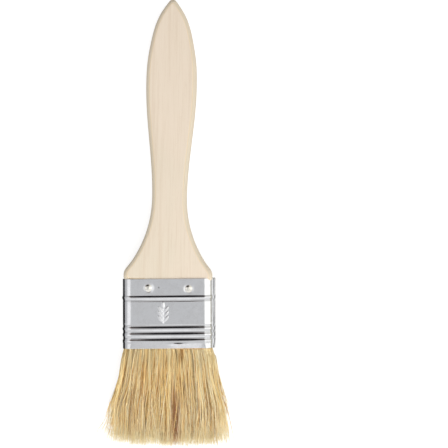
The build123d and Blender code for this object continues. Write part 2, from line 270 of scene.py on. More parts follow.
# Node trees -----------------------------------------------------------------------------
class Tree:
    """Short ways to add and join nodes in one node tree."""

    def __init__(self, owner):
        owner.use_nodes = True
        self.nodes = owner.node_tree.nodes
        self.links = owner.node_tree.links
        self.nodes.clear()

    def add(self, kind, settings=None, **inputs):
        """A node with its settings, and its inputs set or joined by name."""
        node = self.nodes.new("ShaderNode" + kind)
        for key, value in (settings or {}).items():
            setattr(node, key, value)
        for key, value in inputs.items():
            self.join(node, key.replace("_", " "), value)
        return node

    def join(self, node, key, value):
        """Sets one input, by name or by a number such as i6, to a value or to another node's output."""
        by_number = key[0] == "i" and key[1:].isdigit()
        socket = node.inputs[int(key[1:]) if by_number else key]
        if isinstance(value, bpy.types.NodeSocket):
            self.links.new(value, socket)
        else:
            socket.default_value = value

    def math(self, operation, a, b=0.0):
        """Result of one sum on two numbers."""
        return self.add("Math", {"operation": operation}, i0=a, i1=b).outputs[0]

    def ramp(self, value, low, high, new_low=0.0, new_high=1.0):
        """Smooth ramp of a value between two limits."""
        node = self.add("MapRange", {"interpolation_type": "SMOOTHSTEP"}, Value=value)
        limits = {"From Min": low, "From Max": high, "To Min": new_low, "To Max": new_high}
        for key, number in limits.items():
            node.inputs[key].default_value = number
        return node.outputs[0]

    def mix(self, factor, a, b, blend="MIX"):
        """Mix of two colours."""
        node = self.add("Mix", {"data_type": "RGBA", "blend_type": blend})
        self.join(node, "i0", factor)
        self.join(node, "i6", a)
        self.join(node, "i7", b)
        return node.outputs[2]

    def noise(self, vector, scale, detail=3.0, roughness=0.5, distortion=0.0):
        """Noise texture's value."""
        node = self.add("TexNoise", Vector=vector, Scale=scale, Detail=detail, Roughness=roughness,
                        Distortion=distortion)
        return node.outputs[0]

    def space(self, scale):
        """The part's own coordinates, in millimetres, stretched by a scale."""
        coordinates = self.add("TexCoord").outputs["Object"]
        mapping = self.add("Mapping", Vector=coordinates)
        mapping.inputs["Scale"].default_value = [s / MM for s in scale]
        return mapping.outputs[0]

    def colours(self, factor, stops):
        """Colour ramp with (position, colour) stops."""
        node = self.add("ValToRGB", Fac=factor)
        ramp = node.color_ramp
        for position, _ in stops[1:-1]:
            ramp.elements.new(position)
        for element, (position, colour) in zip(ramp.elements, stops):
            element.position = position
            element.color = colour
        return node.outputs[0]


def srgb(red, green, blue):
    """Linear colour from the usual 0 to 255 values."""
    values = np.array([red, green, blue]) / 255
    linear = np.where(values <= 0.04045, values / 12.92, ((values + 0.055) / 1.055) ** 2.4)
    return (*linear.tolist(), 1.0)


def new_material(name):
    """A material with an empty tree, a Principled shader and its output."""
    material = bpy.data.materials.new(name)
    tree = Tree(material)
    shader = tree.add("BsdfPrincipled")
    output = tree.add("OutputMaterial")
    tree.links.new(shader.outputs[0], output.inputs[0])
    return material, tree, shader


# Materials ------------------------------------------------------------------------------
def wood_material(name, pale, warm, dark):
    """Sanded close-grained wood with its fibres along Y; painted shade darkens its rounded edges and side
    walls, with a warmer band where the rounding starts.
    """
    material, tree, shader = new_material(name)
    broad = tree.noise(tree.space((0.05, 0.018, 0.05)), 1.0, 2.0)
    figure = tree.noise(tree.space((0.42, 0.012, 0.42)), 1.0, 3.0, 0.55, 0.6)
    fibre = tree.noise(tree.space((3.2, 0.07, 3.2)), 1.0, 5.0, 0.65)
    pores = tree.noise(tree.space((7.0, 0.45, 7.0)), 1.0, 2.0, 0.5)
    base = tree.mix(tree.ramp(broad, 0.35, 0.65), pale, warm)
    ringed = tree.mix(tree.ramp(figure, 0.46, 0.72, 0.0, 0.20), base, dark)
    fibred = tree.mix(tree.ramp(fibre, 0.45, 0.75, 0.0, 0.26), ringed, dark)
    flecked = tree.mix(tree.ramp(pores, 0.62, 0.74, 0.0, 0.26), fibred, dark)
    # Painted shade: the kept number darkens the rounded edges and side walls towards grey-beige, and warms
    # a band where the rounding starts.
    edge = tree.add("Attribute", {"attribute_name": "shade_and_grime"}).outputs["Fac"]
    turn = tree.math("MULTIPLY", tree.ramp(edge, 0.05, 0.45), tree.ramp(edge, 0.98, 0.55))
    warmed = tree.mix(tree.math("MULTIPLY", turn, 0.55), flecked, srgb(232, 204, 160))
    edge_shaded = tree.mix(tree.ramp(edge, 0.4, 1.0, 0.0, 0.62), warmed, srgb(208, 196, 172))
    tree.join(shader, "Base Color", edge_shaded)
    tree.join(shader, "Roughness", tree.ramp(fibre, 0.3, 0.8, 0.5, 0.66))
    shader.inputs["Specular IOR Level"].default_value = 0.35
    height = tree.math("ADD", tree.math("MULTIPLY", fibre, 0.6), tree.math("MULTIPLY", pores, -0.5))
    bump = tree.add("Bump", Strength=0.35, Distance=0.03 * MM, Height=height)
    tree.join(shader, "Normal", bump.outputs[0])
    return material


def tin_material(name, bright, dull, rough_low, rough_high):
    """Bright rolled tin plate: faint rolling streaks, a haze of fine rubbing and soft waviness."""
    material, tree, shader = new_material(name)
    streaks = tree.noise(tree.space((0.15, 4.0, 4.0)), 1.0, 4.0, 0.6)
    haze = tree.noise(tree.space((0.35, 0.35, 0.35)), 1.0, 4.0, 0.6)
    rubs = tree.noise(tree.space((2.5, 0.3, 2.5)), 1.0, 3.0, 0.7, 1.2)
    base = tree.mix(tree.ramp(haze, 0.4, 0.7, 0.0, 0.6), bright, dull)
    streaked = tree.mix(tree.ramp(streaks, 0.5, 0.75, 0.0, 0.25), base, dull)
    # Painted shade: the colour goes nearly black where the kept number is high (bead valleys, seam slit,
    # left narrow side, inside of the sheet, under tack heads); the ferrule's one speck of dirt uses the
    # same number.
    shade_and_grime = tree.add("Attribute", {"attribute_name": "shade_and_grime"}).outputs["Fac"]
    patchy = tree.math("MULTIPLY", shade_and_grime, tree.ramp(haze, 0.2, 0.6, 0.7, 1.0))
    tree.join(shader, "Base Color", tree.mix(patchy, streaked, (0.10, 0.095, 0.085, 1)))
    shader.inputs["Metallic"].default_value = 1.0
    wear = tree.math("ADD", tree.math("MULTIPLY", haze, 0.6), tree.math("MULTIPLY", rubs, 0.4))
    tree.join(shader, "Roughness", tree.ramp(wear, 0.35, 0.7, rough_low, rough_high))
    height = tree.math("ADD", tree.math("MULTIPLY", streaks, 0.3), haze)
    bump = tree.add("Bump", Strength=0.12, Distance=0.05 * MM, Height=height)
    tree.join(shader, "Normal", bump.outputs[0])
    return material


def resin_material():
    """Hard amber setting resin with cloudy depth and small bubbles."""
    material, tree, shader = new_material("set_resin")
    cloud = tree.noise(tree.space((0.5, 0.5, 0.5)), 1.0, 4.0)
    bubbles = tree.noise(tree.space((4.0, 4.0, 4.0)), 1.0, 1.0)
    base = tree.mix(tree.ramp(cloud, 0.3, 0.7), srgb(150, 96, 40), srgb(188, 132, 66))
    bubbled = tree.mix(tree.ramp(bubbles, 0.62, 0.7, 0.0, 0.5), base, srgb(220, 185, 130))
    tree.join(shader, "Base Color", bubbled)
    tree.join(shader, "Roughness", tree.ramp(cloud, 0.3, 0.7, 0.18, 0.35))
    bump = tree.add("Bump", Strength=0.3, Distance=0.05 * MM, Height=bubbles)
    tree.join(shader, "Normal", bump.outputs[0])
    return material


def bristle_material(name):
    """Natural bristle: each hair has its own shade, duller at the ferrule and paler towards the tip."""
    material, tree, shader = new_material(name)
    shade = tree.add("Attribute", {"attribute_name": "hair_shade"}).outputs["Fac"]
    along = tree.add("Attribute", {"attribute_name": "hair_along"}).outputs["Fac"]
    rust = tree.add("Attribute", {"attribute_name": "hair_rust"}).outputs["Fac"]
    mottle = tree.noise(tree.space((1.2, 0.16, 1.2)), 1.0, 3.0)
    mottled = tree.math("ADD", shade, tree.math("MULTIPLY", tree.math("SUBTRACT", mottle, 0.5), 0.35))
    tone = tree.math("ADD", mottled, tree.ramp(along, 0.4, 0.8, 0.0, 0.14))
    body = tree.colours(tone, [
        (0.0, srgb(124, 76, 36)),
        (0.22, srgb(215, 162, 90)),
        (0.45, srgb(248, 213, 142)),
        (0.70, srgb(253, 228, 166)),
        (1.0, srgb(255, 241, 202)),
    ])
    clamped = tree.ramp(along, 0.45, 0.12)
    duller = tree.mix(clamped, body, (0.90, 0.94, 1.07, 1), "MULTIPLY")
    tip = tree.mix(0.4, srgb(236, 228, 190), body)
    tipped = tree.mix(tree.ramp(along, 0.76, 1.0, 0.0, 0.9), duller, tip)
    coloured = tree.mix(rust, tipped, srgb(170, 100, 52))
    tree.join(shader, "Base Color", coloured)
    tree.join(shader, "Roughness", tree.ramp(mottle, 0.3, 0.7, 0.38, 0.55))
    shader.inputs["Specular IOR Level"].default_value = 0.3
    shader.inputs["Sheen Weight"].default_value = 0.12
    shader.inputs["Sheen Roughness"].default_value = 0.4
    shader.inputs["Sheen Tint"].default_value = (1.0, 0.93, 0.80, 1)
    return material


def packed_material(name):
    """Clamped root ends of the bristles: fine parallel fibres with painted shade in the darker lines
    between them.
    """
    material, tree, shader = new_material(name)
    fibre = tree.noise(tree.space((5.0, 0.06, 5.0)), 1.0, 4.0, 0.6)
    clump = tree.noise(tree.space((0.9, 0.03, 0.9)), 1.0, 3.0)
    base = tree.mix(tree.ramp(clump, 0.35, 0.65), srgb(198, 162, 112), srgb(216, 184, 134))
    # Painted shade: darker brown lines in the gaps between fibres.
    gaps = tree.mix(tree.ramp(fibre, 0.52, 0.36), base, srgb(112, 82, 50))
    tree.join(shader, "Base Color", gaps)
    tree.join(shader, "Roughness", tree.ramp(fibre, 0.3, 0.7, 0.62, 0.42))
    bump = tree.add("Bump", Strength=0.5, Distance=0.1 * MM, Height=fibre)
    tree.join(shader, "Normal", bump.outputs[0])
    return material


def floor_material(name, shade, glow):
    """Matt pale table top with a trace of unevenness."""
    material, tree, shader = new_material(name)
    cloud = tree.noise(tree.space((0.01, 0.01, 0.01)), 1.0, 2.0)
    low, high = (shade - 0.01,) * 3 + (1,), (shade + 0.01,) * 3 + (1,)
    tree.join(shader, "Base Color", tree.mix(cloud, low, high))
    shader.inputs["Roughness"].default_value = 0.9
    shader.inputs["Specular IOR Level"].default_value = 0.1
    shader.inputs["Emission Color"].default_value = (1, 1, 1, 1)
    shader.inputs["Emission Strength"].default_value = glow
    return material


# Handle ---------------------------------------------------------------------------------
def handle_outline():
    """Half of the handle's outline, from the tip down: a smooth line through the CAD side wall."""
    same_level, shortest_run, above_tongue_end = 0.011, 0.25, 0.3
    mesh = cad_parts["handle"].data
    points = np.zeros(len(mesh.vertices) * 3)
    mesh.vertices.foreach_get("co", points)
    points = points.reshape(-1, 3) / MM
    wall = points[(abs(points[:, 2] - MID_Z) < SIDE_BAND) & (points[:, 0] > 0.3)]
    line = [(0.0, HANDLE_HIGH[1] + TIP_OVERRUN)]
    for y in sorted(set(np.round(wall[:, 1], 2)), reverse=True):
        x = wall[abs(wall[:, 1] - y) < same_level][:, 0].max()
        if line[-1][1] - y > shortest_run and y > HANDLE_LOW[1] + above_tongue_end:
            line.append((x, y))
    line.append((HANDLE_HIGH[0], HANDLE_LOW[1]))
    return smooth_line(np.array(line), step=0.25)


def smooth_line(points, step):
    """Even points on a smooth curve through the given ones (Catmull-Rom with uneven knots)."""
    gaps = np.linalg.norm(np.diff(points, axis=0), axis=1)
    knots = np.concatenate([[0], np.cumsum(gaps)])
    slopes = np.gradient(points, knots, axis=0)
    places = np.linspace(0, knots[-1], int(knots[-1] / step) + 1)
    span = np.clip(np.searchsorted(knots, places, side="right") - 1, 0, len(gaps) - 1)
    width = gaps[span][:, None]
    t = (places[:, None] - knots[span][:, None]) / width
    a, b = points[span], points[span + 1]
    slope_a, slope_b = slopes[span] * width, slopes[span + 1] * width
    return (
        a * (2 * t**3 - 3 * t**2 + 1)
        + slope_a * (t**3 - 2 * t**2 + t)
        + b * (-2 * t**3 + 3 * t**2)
        + slope_b * (t**3 - t**2)
    )


def distance_to_line(x, y, line):
    """Shortest distance from each point to a line of short runs."""
    start, run = line[:-1], np.diff(line, axis=0)
    length = (run**2).sum(1)
    gap_x = x[..., None] - start[:, 0]
    gap_y = y[..., None] - start[:, 1]
    t = np.clip((gap_x * run[:, 0] + gap_y * run[:, 1]) / length, 0, 1)
    return np.sqrt((gap_x - t * run[:, 0]) ** 2 + (gap_y - t * run[:, 1]) ** 2).min(-1)


def dimple_depth(x, from_top):
    """How deep the sheet is pressed in round each tack."""
    depth = 0.0
    for side in (-1, 1):
        apart = np.hypot(x - TACK_SHIFT - side * TACK_X, from_top - TACK_FROM_TOP) / DIMPLE_RADIUS
        depth = depth + DIMPLE_DEPTH * np.clip(1 - apart**2, 0, None) ** 2
    return depth


def make_handle(material):
    """The wooden handle: sections from tip to tongue, with rounded edges and dimples at the tacks."""
    rng = np.random.default_rng(5)
    line = handle_outline()
    line[:, 0] -= TONGUE_SLIMMING * smooth_step(-line[:, 1], -FERRULE_TOP, -FERRULE_TOP + 1.5)
    run = np.concatenate([[0], np.cumsum(np.linalg.norm(np.diff(line, axis=0), axis=1))])
    end = run[-1]
    tip_run, tongue_run = 6.0, 12.0
    places = np.concatenate([
        np.arange(0.12, tip_run, 0.22),
        np.arange(tip_run, end - tongue_run, 0.9),
        np.arange(end - tongue_run, end, 0.5),
        [end],
    ])
    station_x = np.interp(places, run, line[:, 0])
    station_y = np.interp(places, run, line[:, 1])
    across = np.sin(np.linspace(-1, 1, 65) * math.pi / 2)
    x = station_x[:, None] * across[None, :]
    y = np.repeat(station_y[:, None], len(across), axis=1)
    right = distance_to_line(x, y, line)
    left = distance_to_line(-x, y, line)
    blend = 1.4
    share = np.clip(0.5 + 0.5 * (left - right) / blend, 0, 1)
    inside = left * (1 - share) + right * share - blend * share * (1 - share)
    inside = np.clip(np.where(np.minimum(left, right) < 1e-6, 0, inside), 0, HANDLE_ROUND)
    half = (HANDLE_HIGH[2] - HANDLE_LOW[2]) / 2
    rise = half - HANDLE_ROUND + np.sqrt(HANDLE_ROUND**2 - (HANDLE_ROUND - inside) ** 2)
    dimples = dimple_depth(x, FERRULE_TOP - y)
    sanding = 0.025 * waves(y, x, 6, longest=60.0, shortest=14.0, rng=rng)
    sanding = sanding * smooth_step(y, FERRULE_TOP, FERRULE_TOP + 6)
    above = rise - dimples + np.minimum(sanding, 0)
    below = rise - dimples + np.minimum(-sanding, 0)
    edge = half - HANDLE_ROUND
    side_steps = np.linspace(1, -1, 6)[1:-1]
    # Painted shade kept for the wood: full on the rounded edges and side walls, none on the flat faces.
    edge_shade = 1 - smooth_step(inside, 1.2, 1.75)
    walls = np.ones((len(places), len(side_steps)))
    shade_and_grime = np.concatenate([edge_shade, walls, edge_shade[:, ::-1], walls], axis=1)
    rows = []
    for k in range(len(places)):
        top = np.stack([x[k], y[k], MID_Z + above[k]], axis=1)
        bottom = np.stack([x[k][::-1], y[k], MID_Z - below[k][::-1]], axis=1)
        right_wall = [(station_x[k], station_y[k], MID_Z + edge * s) for s in side_steps]
        left_wall = [(-station_x[k], station_y[k], MID_Z - edge * s) for s in side_steps]
        rows.append(np.concatenate([top, right_wall, bottom, left_wall]))
    shell = Shell()
    shell.band(rows, shade_and_grime)
    piece = shell.piece("handle_wood", material, "handle_wood")
    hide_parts("handle")
    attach(piece, "handle_unit")


# Ferrule --------------------------------------------------------------------------------
def wall_loop():
    """Points and outward normals round the ferrule's outer wall, closest together at the mark."""
    flat = WALL_HALF_WIDTH - WALL_CORNER
    straight = WALL_HALF_DEPTH - WALL_CORNER
    fine = np.concatenate([
        np.arange(-11.2, -4.9, 0.28),
        np.arange(-4.8, 1.5, 0.15),
        np.arange(1.6, 11.3, 0.28),
    ])
    face = np.concatenate([
        np.linspace(-flat, fine[0], 8)[:-1],
        fine,
        np.linspace(fine[-1], flat, 8)[1:],
    ])
    turns = np.linspace(0, math.pi / 2, 18)[1:-1]
    points, normals = [], []

    def add_corner(side_x, side_z, turn):
        """One point on a rounded corner of the wall."""
        normal_x, normal_z = side_x * math.sin(turn), side_z * math.cos(turn)
        points.append((side_x * flat + WALL_CORNER * normal_x, side_z * straight + WALL_CORNER * normal_z))
        normals.append((normal_x, normal_z))

    for side in (1, -1):
        for x in face:
            points.append((side * x, side * WALL_HALF_DEPTH))
            normals.append((0, side))
        for turn in turns:
            add_corner(side, side, turn)
        for z in np.linspace(straight, -straight, 6):
            points.append((side * WALL_HALF_WIDTH, side * z))
            normals.append((side, 0))
        for turn in turns[::-1]:
            add_corner(side, -side, turn)
    return np.array(points), np.array(normals)


def bump(value, centre, half_width, height):
    """One smooth rounded ridge."""
    t = np.clip(abs(value - centre) / half_width, 0, 1)
    return height * (0.5 + 0.5 * np.cos(math.pi * t))


def bead_height(v):
    """Rolled beads: how far the wall stands out at a distance from the ferrule's top edge."""
    waved = 0.5 - 0.5 * np.cos(2 * math.pi * (v - LOWER_BEADS) / LOWER_PITCH)
    inside = (v > LOWER_BEADS) & (v < LOWER_BEADS + 3 * LOWER_PITCH)
    lower = np.where(inside, LOWER_SWELL * waved - LOWER_SINK, 0.0)
    lower = lower - bump(v, LOWER_BEADS, 0.6, LOWER_SINK) * (v <= LOWER_BEADS)
    last_crest = LOWER_BEADS + 2.5 * LOWER_PITCH
    lip = LOWER_SWELL - LOWER_SINK - LIP_SLOPE * np.clip(v - last_crest, 0, None)
    lower = np.where(v >= last_crest, lip, lower)
    upper = bump(v, UPPER_BEAD, 1.0, UPPER_SWELL) - bump(v, UPPER_BEAD + 1.4, 0.45, 0.08)
    return upper + lower


def grain_ear(x, v):
    """Raised ear of grain: paired grains that lean out from a stalk, and one at its tip."""
    height = np.zeros_like(x + v)
    top_grain, first_pair, pair_x = -3.2, -1.5, 1.2
    grains = [(0.0, top_grain, 0.0)]
    for pair in range(3):
        for side in (-1, 1):
            grains.append((side * pair_x, first_pair + pair * GRAIN_STEP, side * GRAIN_LEAN))
    for place_x, place_v, turn in grains:
        gap_x = x - MARK_X - place_x
        gap_v = v - MARK_FROM_TOP - place_v
        along = -gap_v * math.cos(turn) + gap_x * math.sin(turn)
        across = gap_x * math.cos(turn) + gap_v * math.sin(turn)
        taper = np.clip(1 - np.abs(along / GRAIN_HALF_LENGTH) ** 1.6, 0, 1)
        pointed = GRAIN_HALF_WIDTH * np.sqrt(taper) + 1e-6
        near = np.clip(1 - (across / pointed) ** 2, 0, 1) * (np.abs(along) < GRAIN_HALF_LENGTH)
        height = np.maximum(height, GRAIN_RAISED * near**0.7)
    stalk = smooth_step(STALK_HALF_WIDTH - abs(x - MARK_X), 0, 0.16)
    stalk = stalk * smooth_step(v, 12.0, 12.3) * smooth_step(-v, -18.6, -18.3)
    return np.maximum(height, STALK_RAISED * stalk)


def wall_offset(x, v, side, rng_seed):
    """How far each face's sheet lies out from its plain wall."""
    rng = np.random.default_rng(rng_seed)
    face = smooth_step(WALL_HALF_WIDTH - 2.5 - abs(x), 0, 3.0)
    # The beads are pressed best in the middle of a face
    gain = 1 - EDGE_FIRMNESS
    firmness = EDGE_FIRMNESS + gain * smooth_step(side * x, -15.5, -3.0)
    firmness = firmness - 0.3 * smooth_step(side * x, 8.0, 15.0)
    beads = bead_height(v) * face + bead_height(np.minimum(v, SIDE_LIP)) * (1 - face)
    offset = beads * np.where(face > 0, firmness, EDGE_FIRMNESS + gain * (side * x > 0))
    place_x, place_y = turned(x, v)
    offset = offset - dimple_depth(place_x, FERRULE_TOP - place_y) * face
    offset = offset + 0.028 * face * waves(v, x, 5, longest=26.0, shortest=11.0, rng=rng)
    if side > 0:
        # The front has a lip pressed in on its right, the mark, a pinch in the lip and a shallow dent
        offset = offset - 0.13 * smooth_step(x, -1.0, 7.0) * np.clip(v - 26.8, 0, None) * face
        offset = offset + grain_ear(x, v)
        pinch = np.exp(-(((x - PINCH_X) / 2.7) ** 2) - ((v - PINCH_FROM_TOP) / 0.40) ** 2)
        dent = np.exp(-(((x - DENT_X) / 1.3) ** 2) - ((v - DENT_FROM_TOP) / 2.2) ** 2)
        offset = offset + PINCH_OUT * pinch
        offset = offset - DENT_DEPTH * dent
    return offset


def turned(x, v):
    """X and Y of a place on the ferrule, which was pressed on a touch askew."""
    return x + FERRULE_SHIFT + FERRULE_LEAN * v, FERRULE_TOP - v + FERRULE_TURN * x


def make_ferrule(material):
    """The sheet wall with its beads, dimples and raised mark, and the folded seam on its +X edge."""
    loop, normals = wall_loop()
    rows = np.concatenate([
        [0.0, RIM_ROUND / 2, RIM_ROUND],
        np.arange(0.12, 6.6, 0.25),
        np.arange(6.6, 10.2, 0.12),
        np.arange(10.2, 18.6, 0.15),
        np.arange(18.6, FERRULE_LENGTH - 0.1, 0.13),
        FERRULE_LENGTH - np.array([RIM_ROUND, RIM_ROUND / 2, 0.0]),
    ])
    columns = len(loop)
    x, z = loop[:, 0][None, :], loop[:, 1][None, :]
    v = rows[:, None]
    offset = np.where(normals[:, 1] > 0, wall_offset(x, v, 1, 11), wall_offset(x, v, -1, 12))
    in_rim = np.clip(RIM_ROUND - np.minimum(v, FERRULE_LENGTH - v), 0, RIM_ROUND)
    rounded = RIM_ROUND - np.sqrt(RIM_ROUND**2 - in_rim**2)

    def wall_rings(out, picked):
        """The wall moved out along its normals, at some of the rows."""
        place_x, place_y = turned(x + out * normals[:, 0], v[picked])
        return np.stack([place_x, place_y, MID_Z + z + out * normals[:, 1]], axis=-1)

    every = np.arange(len(rows))
    third = np.unique(np.append(every[::3], every[-1]))
    # Painted shade in the valleys beside the beads and on the left narrow side, and one real speck of dirt
    # between the tacks
    valley_shade = bump(v, 9.1, 0.5, 0.3) + bump(v, 7.0, 0.35, 0.25)
    for valley in range(4):
        valley_shade = valley_shade + bump(v, LOWER_BEADS + 0.05 + LOWER_PITCH * valley, 0.45, 0.3)
    speck = np.exp(-(((x - SPECK_X) / 0.3) ** 2) - ((v - SPECK_FROM_TOP) / 0.28) ** 2)
    speck = 0.9 * speck * (z > 0)
    left_side_shade = 0.9 * (normals[:, 0] < -0.75) * smooth_step(v, 4.0, 9.0)
    shade_and_grime = valley_shade * (v < 26.2) + speck + left_side_shade
    shell = Shell()
    outer = shell.band(wall_rings(offset - rounded, every), shade_and_grime, False, False)
    # The inner face of the sheet carries a little painted shade.
    inner = shell.band(wall_rings((offset - SHEET + rounded)[third], third), 0.3, False, False)
    shell.lip(outer, inner, columns)
    shell.lip(inner - columns, shell.count - columns, columns)
    for low_x, high_x, half_z, fold_shade in SEAM_FOLDS:
        add_fold(shell, rows, low_x, high_x, half_z, fold_shade)
    piece = shell.piece("ferrule_sheet", material, "tinplate")
    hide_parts("ferrule")
    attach(piece, "handle_unit")


def add_fold(shell, rows, low_x, high_x, half_z, shade_and_grime):
    """One flattened fold of the seam: a thin rounded strip down the ferrule that follows its beads."""
    middle_x, half_x = (low_x + high_x) / 2, (high_x - low_x) / 2
    radius = half_x - 0.03
    section = []
    for corner, (side_x, side_z) in enumerate(((1, 1), (1, -1), (-1, -1), (-1, 1))):
        for step in np.linspace(0, 1, 6):
            turn = (step if corner % 2 == 0 else 1 - step) * math.pi / 2
            section.append((
                middle_x + side_x * (half_x - radius + radius * math.sin(turn)),
                side_z * (half_z - radius + radius * math.cos(turn)),
            ))
    section = np.array(section)
    picked = rows[::2] if len(rows) % 2 else np.append(rows[::2], rows[-1])
    rng = np.random.default_rng(int(low_x * 10))
    sway = 0.03 * waves(picked, 0 * picked, 3, longest=16.0, shortest=6.0, rng=rng)
    out = 0.75 * bead_height(picked) + sway
    fold_x, fold_y = turned(section[:, 0] + out[:, None], picked[:, None])
    fold_z = MID_Z + section[:, 1] + sway[:, None]
    # The fold carries its painted shade for the material.
    shell.band(np.stack([fold_x, fold_y, fold_z], axis=-1), shade_and_grime)


def make_tacks(material):
    """Four tacks: low heads, each a little tilted and dented by the hammer, on pointed shanks."""
    rng = np.random.default_rng(8)
    around = np.linspace(0, 2 * math.pi, 48, endpoint=False)[None, :]
    profile = [(0.01, HEAD_RIM + HEAD_DOME)]
    for t in np.linspace(0.08, 1, 14):
        profile.append((HEAD_RADIUS * t, HEAD_RIM + HEAD_DOME * (1 - t**2.4)))
    profile += [(HEAD_RADIUS, 0.0), (HEAD_RADIUS - 0.15, -0.06), (SHANK_RADIUS, -0.08)]
    profile += [(SHANK_RADIUS, -SHANK_STRAIGHT), (0.12, -SHANK_LENGTH)]
    radius, height = np.array(profile)[:, 0][:, None], np.array(profile)[:, 1][:, None]
    head = height > -0.07
    shell = Shell()
    for face_side in (1, -1):
        for side in (-1, 1):
            tilt_x, tilt_y = rng.normal(-0.06, 0.02), rng.normal(0.04, 0.02)
            dent_x, dent_y = rng.uniform(-0.6, 0.6, 2)
            x, y = radius * np.cos(around), radius * np.sin(around)
            dent = 0.05 * np.exp(-(((x - dent_x) / 0.55) ** 2) - ((y - dent_y) / 0.5) ** 2)
            hammered = head * (tilt_x * x + tilt_y * y - dent * (height > 0.1))
            z = WALL_HALF_DEPTH - HEAD_SUNK + height + hammered
            middle_x, middle_y = TACK_SHIFT + side * TACK_X, FERRULE_TOP - TACK_FROM_TOP
            place = np.stack([middle_x + x, middle_y + y, MID_Z + face_side * z], axis=-1)
            # Painted shade under each head's rim and along the shank; none on the dome.
            shell.band(place, 0.5 * (height < 0.06) + 0 * x)
    piece = shell.piece("tacks", material, "tack_steel")
    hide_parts("ferrule_tacks")
    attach(piece, "handle_unit")


# Bristles -------------------------------------------------------------------------------
def fan_width(s):
    """Half width of the tuft at a distance below the ferrule's mouth."""
    s = np.clip(s, 0, None)
    below_mouth = 18.6 + 0.065 * s + 0.005 * s**2
    near_tips = 22.3 + 0.02 * s
    open_width = np.minimum(below_mouth, near_tips)
    return ROOT_HALF_WIDTH + (open_width - ROOT_HALF_WIDTH) * smooth_step(s, 0.7, 3.2)


def fan_depth(s):
    """Half depth of the tuft, which swells a little past the mouth and closes again at its ends."""
    return ROOT_HALF_DEPTH + 0.75 * smooth_step(s, 0.4, 10.0) - 0.7 * smooth_step(s, 26.0, 42.0)


def hair_paths(index, depth_sign, rng):
    """Where one lock's hairs run: x, z and distance below the mouth for each ring of each hair."""
    count = WISPS * HAIRS
    wisp = np.repeat(np.arange(WISPS), HAIRS)
    low = -1 + 0.4 * index
    share = rng.uniform(low, low + 0.4, WISPS)[wisp]
    depth = depth_sign * (rng.uniform(0.0, 1.0, WISPS) ** 0.7)[wisp]
    outer = (np.abs(depth) > 0.5) | (np.abs(share) > 0.88)
    shortened = rng.uniform(0.44, 0.97, WISPS)[wisp]
    raised = outer & (rng.random(WISPS)[wisp] < RAISED_SHARE)
    reach = np.where(raised, shortened, 1 - 0.10 * rng.random(WISPS)[wisp] ** 1.6)
    full = BRISTLE_LENGTH + 0.9 - 1.4 * np.abs(share) ** 3
    length = full * reach - np.abs(rng.normal(0, 0.8, count)) * smooth_step(reach, 0.4, 0.9)

    t = np.linspace(0, 1, RINGS)[None, :]
    s = -ROOT_INSIDE + t * (length[:, None] + ROOT_INSIDE)
    free = np.clip(s, 0, None) / BRISTLE_LENGTH
    close = smooth_step(s, 3.0, length[:, None])
    gather = 1 - rng.uniform(0.45, 0.95, WISPS)[wisp][:, None] * close

    def each(amount):
        """One random number per hair, as a column."""
        return rng.normal(0, amount, count)[:, None]

    def each_wisp(amount):
        """One random number per wisp, shared by its hairs."""
        return rng.normal(0, amount, WISPS)[wisp][:, None]

    turn = rng.uniform(0, 2 * math.pi, count)
    spread = 0.75 * np.sqrt(rng.random(count))
    bend = free**1.5
    x = share[:, None] * fan_width(s) + (spread * np.cos(turn))[:, None] * gather
    z = depth[:, None] * (fan_depth(s) - 0.35) + (spread * np.sin(turn))[:, None] * gather
    x = x + (each_wisp(1.7) + each(1.3)) * bend
    z = z + (each_wisp(0.35) + each(0.3) + (0.9 * depth_sign * raised)[:, None]) * bend
    for turns, wisp_amount, hair_amount in ((4.5, 0.34, 0.22), (11.0, 0.10, 0.12)):
        phase = rng.uniform(0, 2 * math.pi, WISPS)[wisp][:, None] + each(0.5)
        swing = np.sin(free * turns + phase) - np.sin(phase)
        x = x + (each_wisp(wisp_amount) + each(hair_amount)) * swing
        z = z + each(hair_amount * 0.6) * np.sin(free * turns)
    # A few stray hairs lean out at both edges, most of all low on the left
    edge = np.clip((np.abs(share) - 0.80) / 0.2, 0, 1)
    stray = edge * (rng.random(count) < 0.6) * rng.uniform(0.2, 1.0, count) * np.sign(share)
    x = x + EDGE_STRAY * stray[:, None] * np.clip(free - 0.35, 0, None) ** 1.5
    x = x + LEFT_STRAY * np.minimum(stray, 0)[:, None] * smooth_step(free, 0.7, 1.0)

    # Inside the ferrule the hairs stay in its rounded bore, which the pressed lip narrows
    outside = smooth_step(s, 0.6, 3.5)
    limit_x = ROOT_HALF_WIDTH + outside * FAN_LIMIT
    x = np.clip(x, -limit_x, limit_x)
    bore = WALL_CORNER - SHEET - HAIR_CLEARANCE
    past_flat = np.clip(np.abs(x) - (WALL_HALF_WIDTH - WALL_CORNER), 0, bore)
    bore_z = WALL_HALF_DEPTH - WALL_CORNER + np.sqrt(bore**2 - past_flat**2)
    pressed_lip = (depth_sign > 0) * smooth_step(x, -3.0, 5.0) * smooth_step(s, -3.0, -0.5)
    bore_z = bore_z - 0.1 * smooth_step(s, -3.0, -0.5) - 0.3 * pressed_lip
    limit_z = bore_z + outside * (TUFT_HALF_DEPTH - bore_z)
    mouth_x = FERRULE_SHIFT + FERRULE_LEAN * FERRULE_LENGTH
    return x + mouth_x + 0.3 * outside, np.clip(z, -limit_z, limit_z), s, t, wisp


